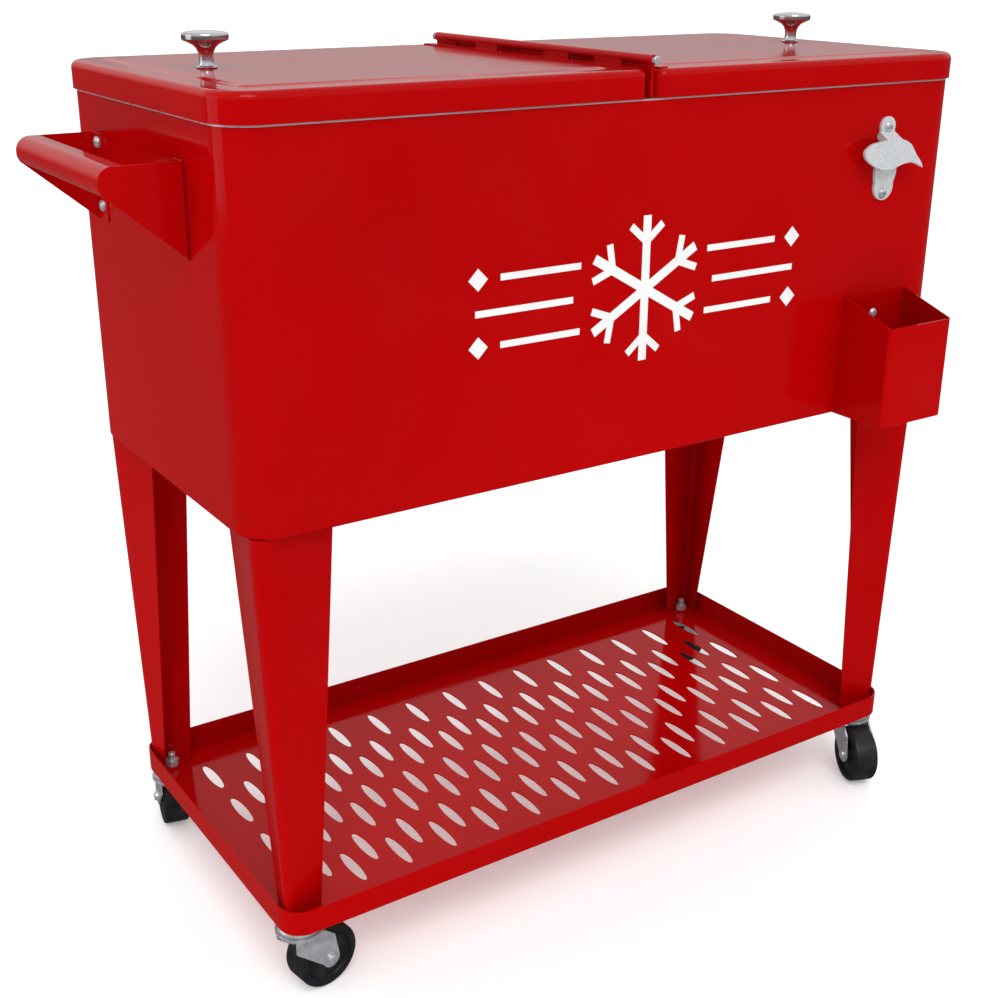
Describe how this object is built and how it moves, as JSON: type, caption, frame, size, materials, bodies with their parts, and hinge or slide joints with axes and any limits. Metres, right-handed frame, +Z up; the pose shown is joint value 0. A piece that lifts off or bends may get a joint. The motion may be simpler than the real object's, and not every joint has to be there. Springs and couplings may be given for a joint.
{
  "type": "vintage party cooler",
  "caption": "Vintage insulated drinks cooler: rounded metal chest on tapered legs with shelf tray, swivel casters, twin lids with knobs, end handle, bottle opener and cap catcher.",
  "frame": {"origin": "on the floor, under the middle of the chest body", "axes": "+X along the chest away from the handle, -Y toward the side with the opener and cap catcher, +Z up"},
  "size_m": [0.911, 0.4686, 0.876],
  "materials": {
    "red_enamel": "gloss",
    "liner_steel": "satin",
    "foam": "matte",
    "gasket": "matte",
    "drain_plastic": "satin",
    "chrome": "polished",
    "cast_metal": "satin",
    "white_print": "gloss",
    "black_rubber": "satin",
    "zinc_steel": "satin"
  },
  "bodies": {
    "chest": {"outer_shell": "red_enamel", "inner_liner": "liner_steel", "insulation": "foam", "drain_spout": "drain_plastic", "drain_washer": "gasket", "drain_nut": "drain_plastic", "centre_rail": "red_enamel", "rail_screws": "zinc_steel", "hinge_rod": "zinc_steel", "shelf_tray": "red_enamel", "caster_nuts": "zinc_steel", "leg_screws": "zinc_steel", "side_handle": "red_enamel", "handle_screws": "zinc_steel", "bottle_opener": "cast_metal", "opener_screws": "zinc_steel", "cap_catcher": "red_enamel", "catcher_screws": "zinc_steel", "front_ornament": "white_print", "front_left_leg": "red_enamel", "front_right_leg": "red_enamel", "back_left_leg": "red_enamel", "back_right_leg": "red_enamel", "front_left_caster_stem": "zinc_steel", "front_right_caster_stem": "zinc_steel", "back_left_caster_stem": "zinc_steel", "back_right_caster_stem": "zinc_steel"},
    "left_lid": {"left_lid_pan": "red_enamel", "left_lid_foam": "foam", "left_lid_lining": "liner_steel", "left_lid_gasket": "gasket", "left_hinge_leaf": "red_enamel", "left_knob": "chrome", "left_knob_screw": "zinc_steel"},
    "right_lid": {"right_lid_pan": "red_enamel", "right_lid_foam": "foam", "right_lid_lining": "liner_steel", "right_lid_gasket": "gasket", "right_hinge_leaf": "red_enamel", "right_knob": "chrome", "right_knob_screw": "zinc_steel"},
    "drain_cap": {"drain_cap": "drain_plastic"},
    "front_left_fork": {"front_left_caster_fork": "zinc_steel", "front_left_caster_axle": "zinc_steel"},
    "front_left_wheel": {"front_left_caster_wheel": "black_rubber"},
    "front_right_fork": {"front_right_caster_fork": "zinc_steel", "front_right_caster_axle": "zinc_steel"},
    "front_right_wheel": {"front_right_caster_wheel": "black_rubber"},
    "back_left_fork": {"back_left_caster_fork": "zinc_steel", "back_left_caster_axle": "zinc_steel"},
    "back_left_wheel": {"back_left_caster_wheel": "black_rubber"},
    "back_right_fork": {"back_right_caster_fork": "zinc_steel", "back_right_caster_axle": "zinc_steel"},
    "back_right_wheel": {"back_right_caster_wheel": "black_rubber"}
  },
  "joints": [
    {"name": "left_lid_hinge", "type": "hinge", "parent": "chest", "child": "left_lid", "pos_m": [0, 0, 0.851], "axis": [0, 1, 0], "range_deg": [0, 84]},
    {"name": "right_lid_hinge", "type": "hinge", "parent": "chest", "child": "right_lid", "pos_m": [0, 0, 0.851], "axis": [0, -1, 0], "range_deg": [0, 84]},
    {"name": "drain_cap_pull", "type": "slide", "parent": "chest", "child": "drain_cap", "axis": [1, 0, 0], "range_m": [0, 0.03]},
    {"name": "front_left_swivel", "type": "hinge", "parent": "chest", "child": "front_left_fork", "pos_m": [-0.37, -0.16, 0.0696], "axis": [0, 0, 1], "continuous": true},
    {"name": "front_left_roll", "type": "hinge", "parent": "front_left_fork", "child": "front_left_wheel", "pos_m": [-0.34636, -0.15583, 0.033], "axis": [0.1736, -0.9848, 0], "continuous": true},
    {"name": "front_right_swivel", "type": "hinge", "parent": "chest", "child": "front_right_fork", "pos_m": [0.37, -0.16, 0.0696], "axis": [0, 0, 1], "continuous": true},
    {"name": "front_right_roll", "type": "hinge", "parent": "front_right_fork", "child": "front_right_wheel", "pos_m": [0.36101, -0.18225, 0.033], "axis": [-0.9272, 0.3746, 0], "continuous": true},
    {"name": "back_left_swivel", "type": "hinge", "parent": "chest", "child": "back_left_fork", "pos_m": [-0.37, 0.16, 0.0696], "axis": [0, 0, 1], "continuous": true},
    {"name": "back_left_roll", "type": "hinge", "parent": "back_left_fork", "child": "back_left_wheel", "pos_m": [-0.36501, 0.18348, 0.033], "axis": [0.9781, -0.2079, 0], "continuous": true},
    {"name": "back_right_swivel", "type": "hinge", "parent": "chest", "child": "back_right_fork", "pos_m": [0.37, 0.16, 0.0696], "axis": [0, 0, 1], "continuous": true},
    {"name": "back_right_roll", "type": "hinge", "parent": "back_right_fork", "child": "back_right_wheel", "pos_m": [0.39255, 0.16821, 0.033], "axis": [0.342, -0.9397, 0], "continuous": true}
  ]
}
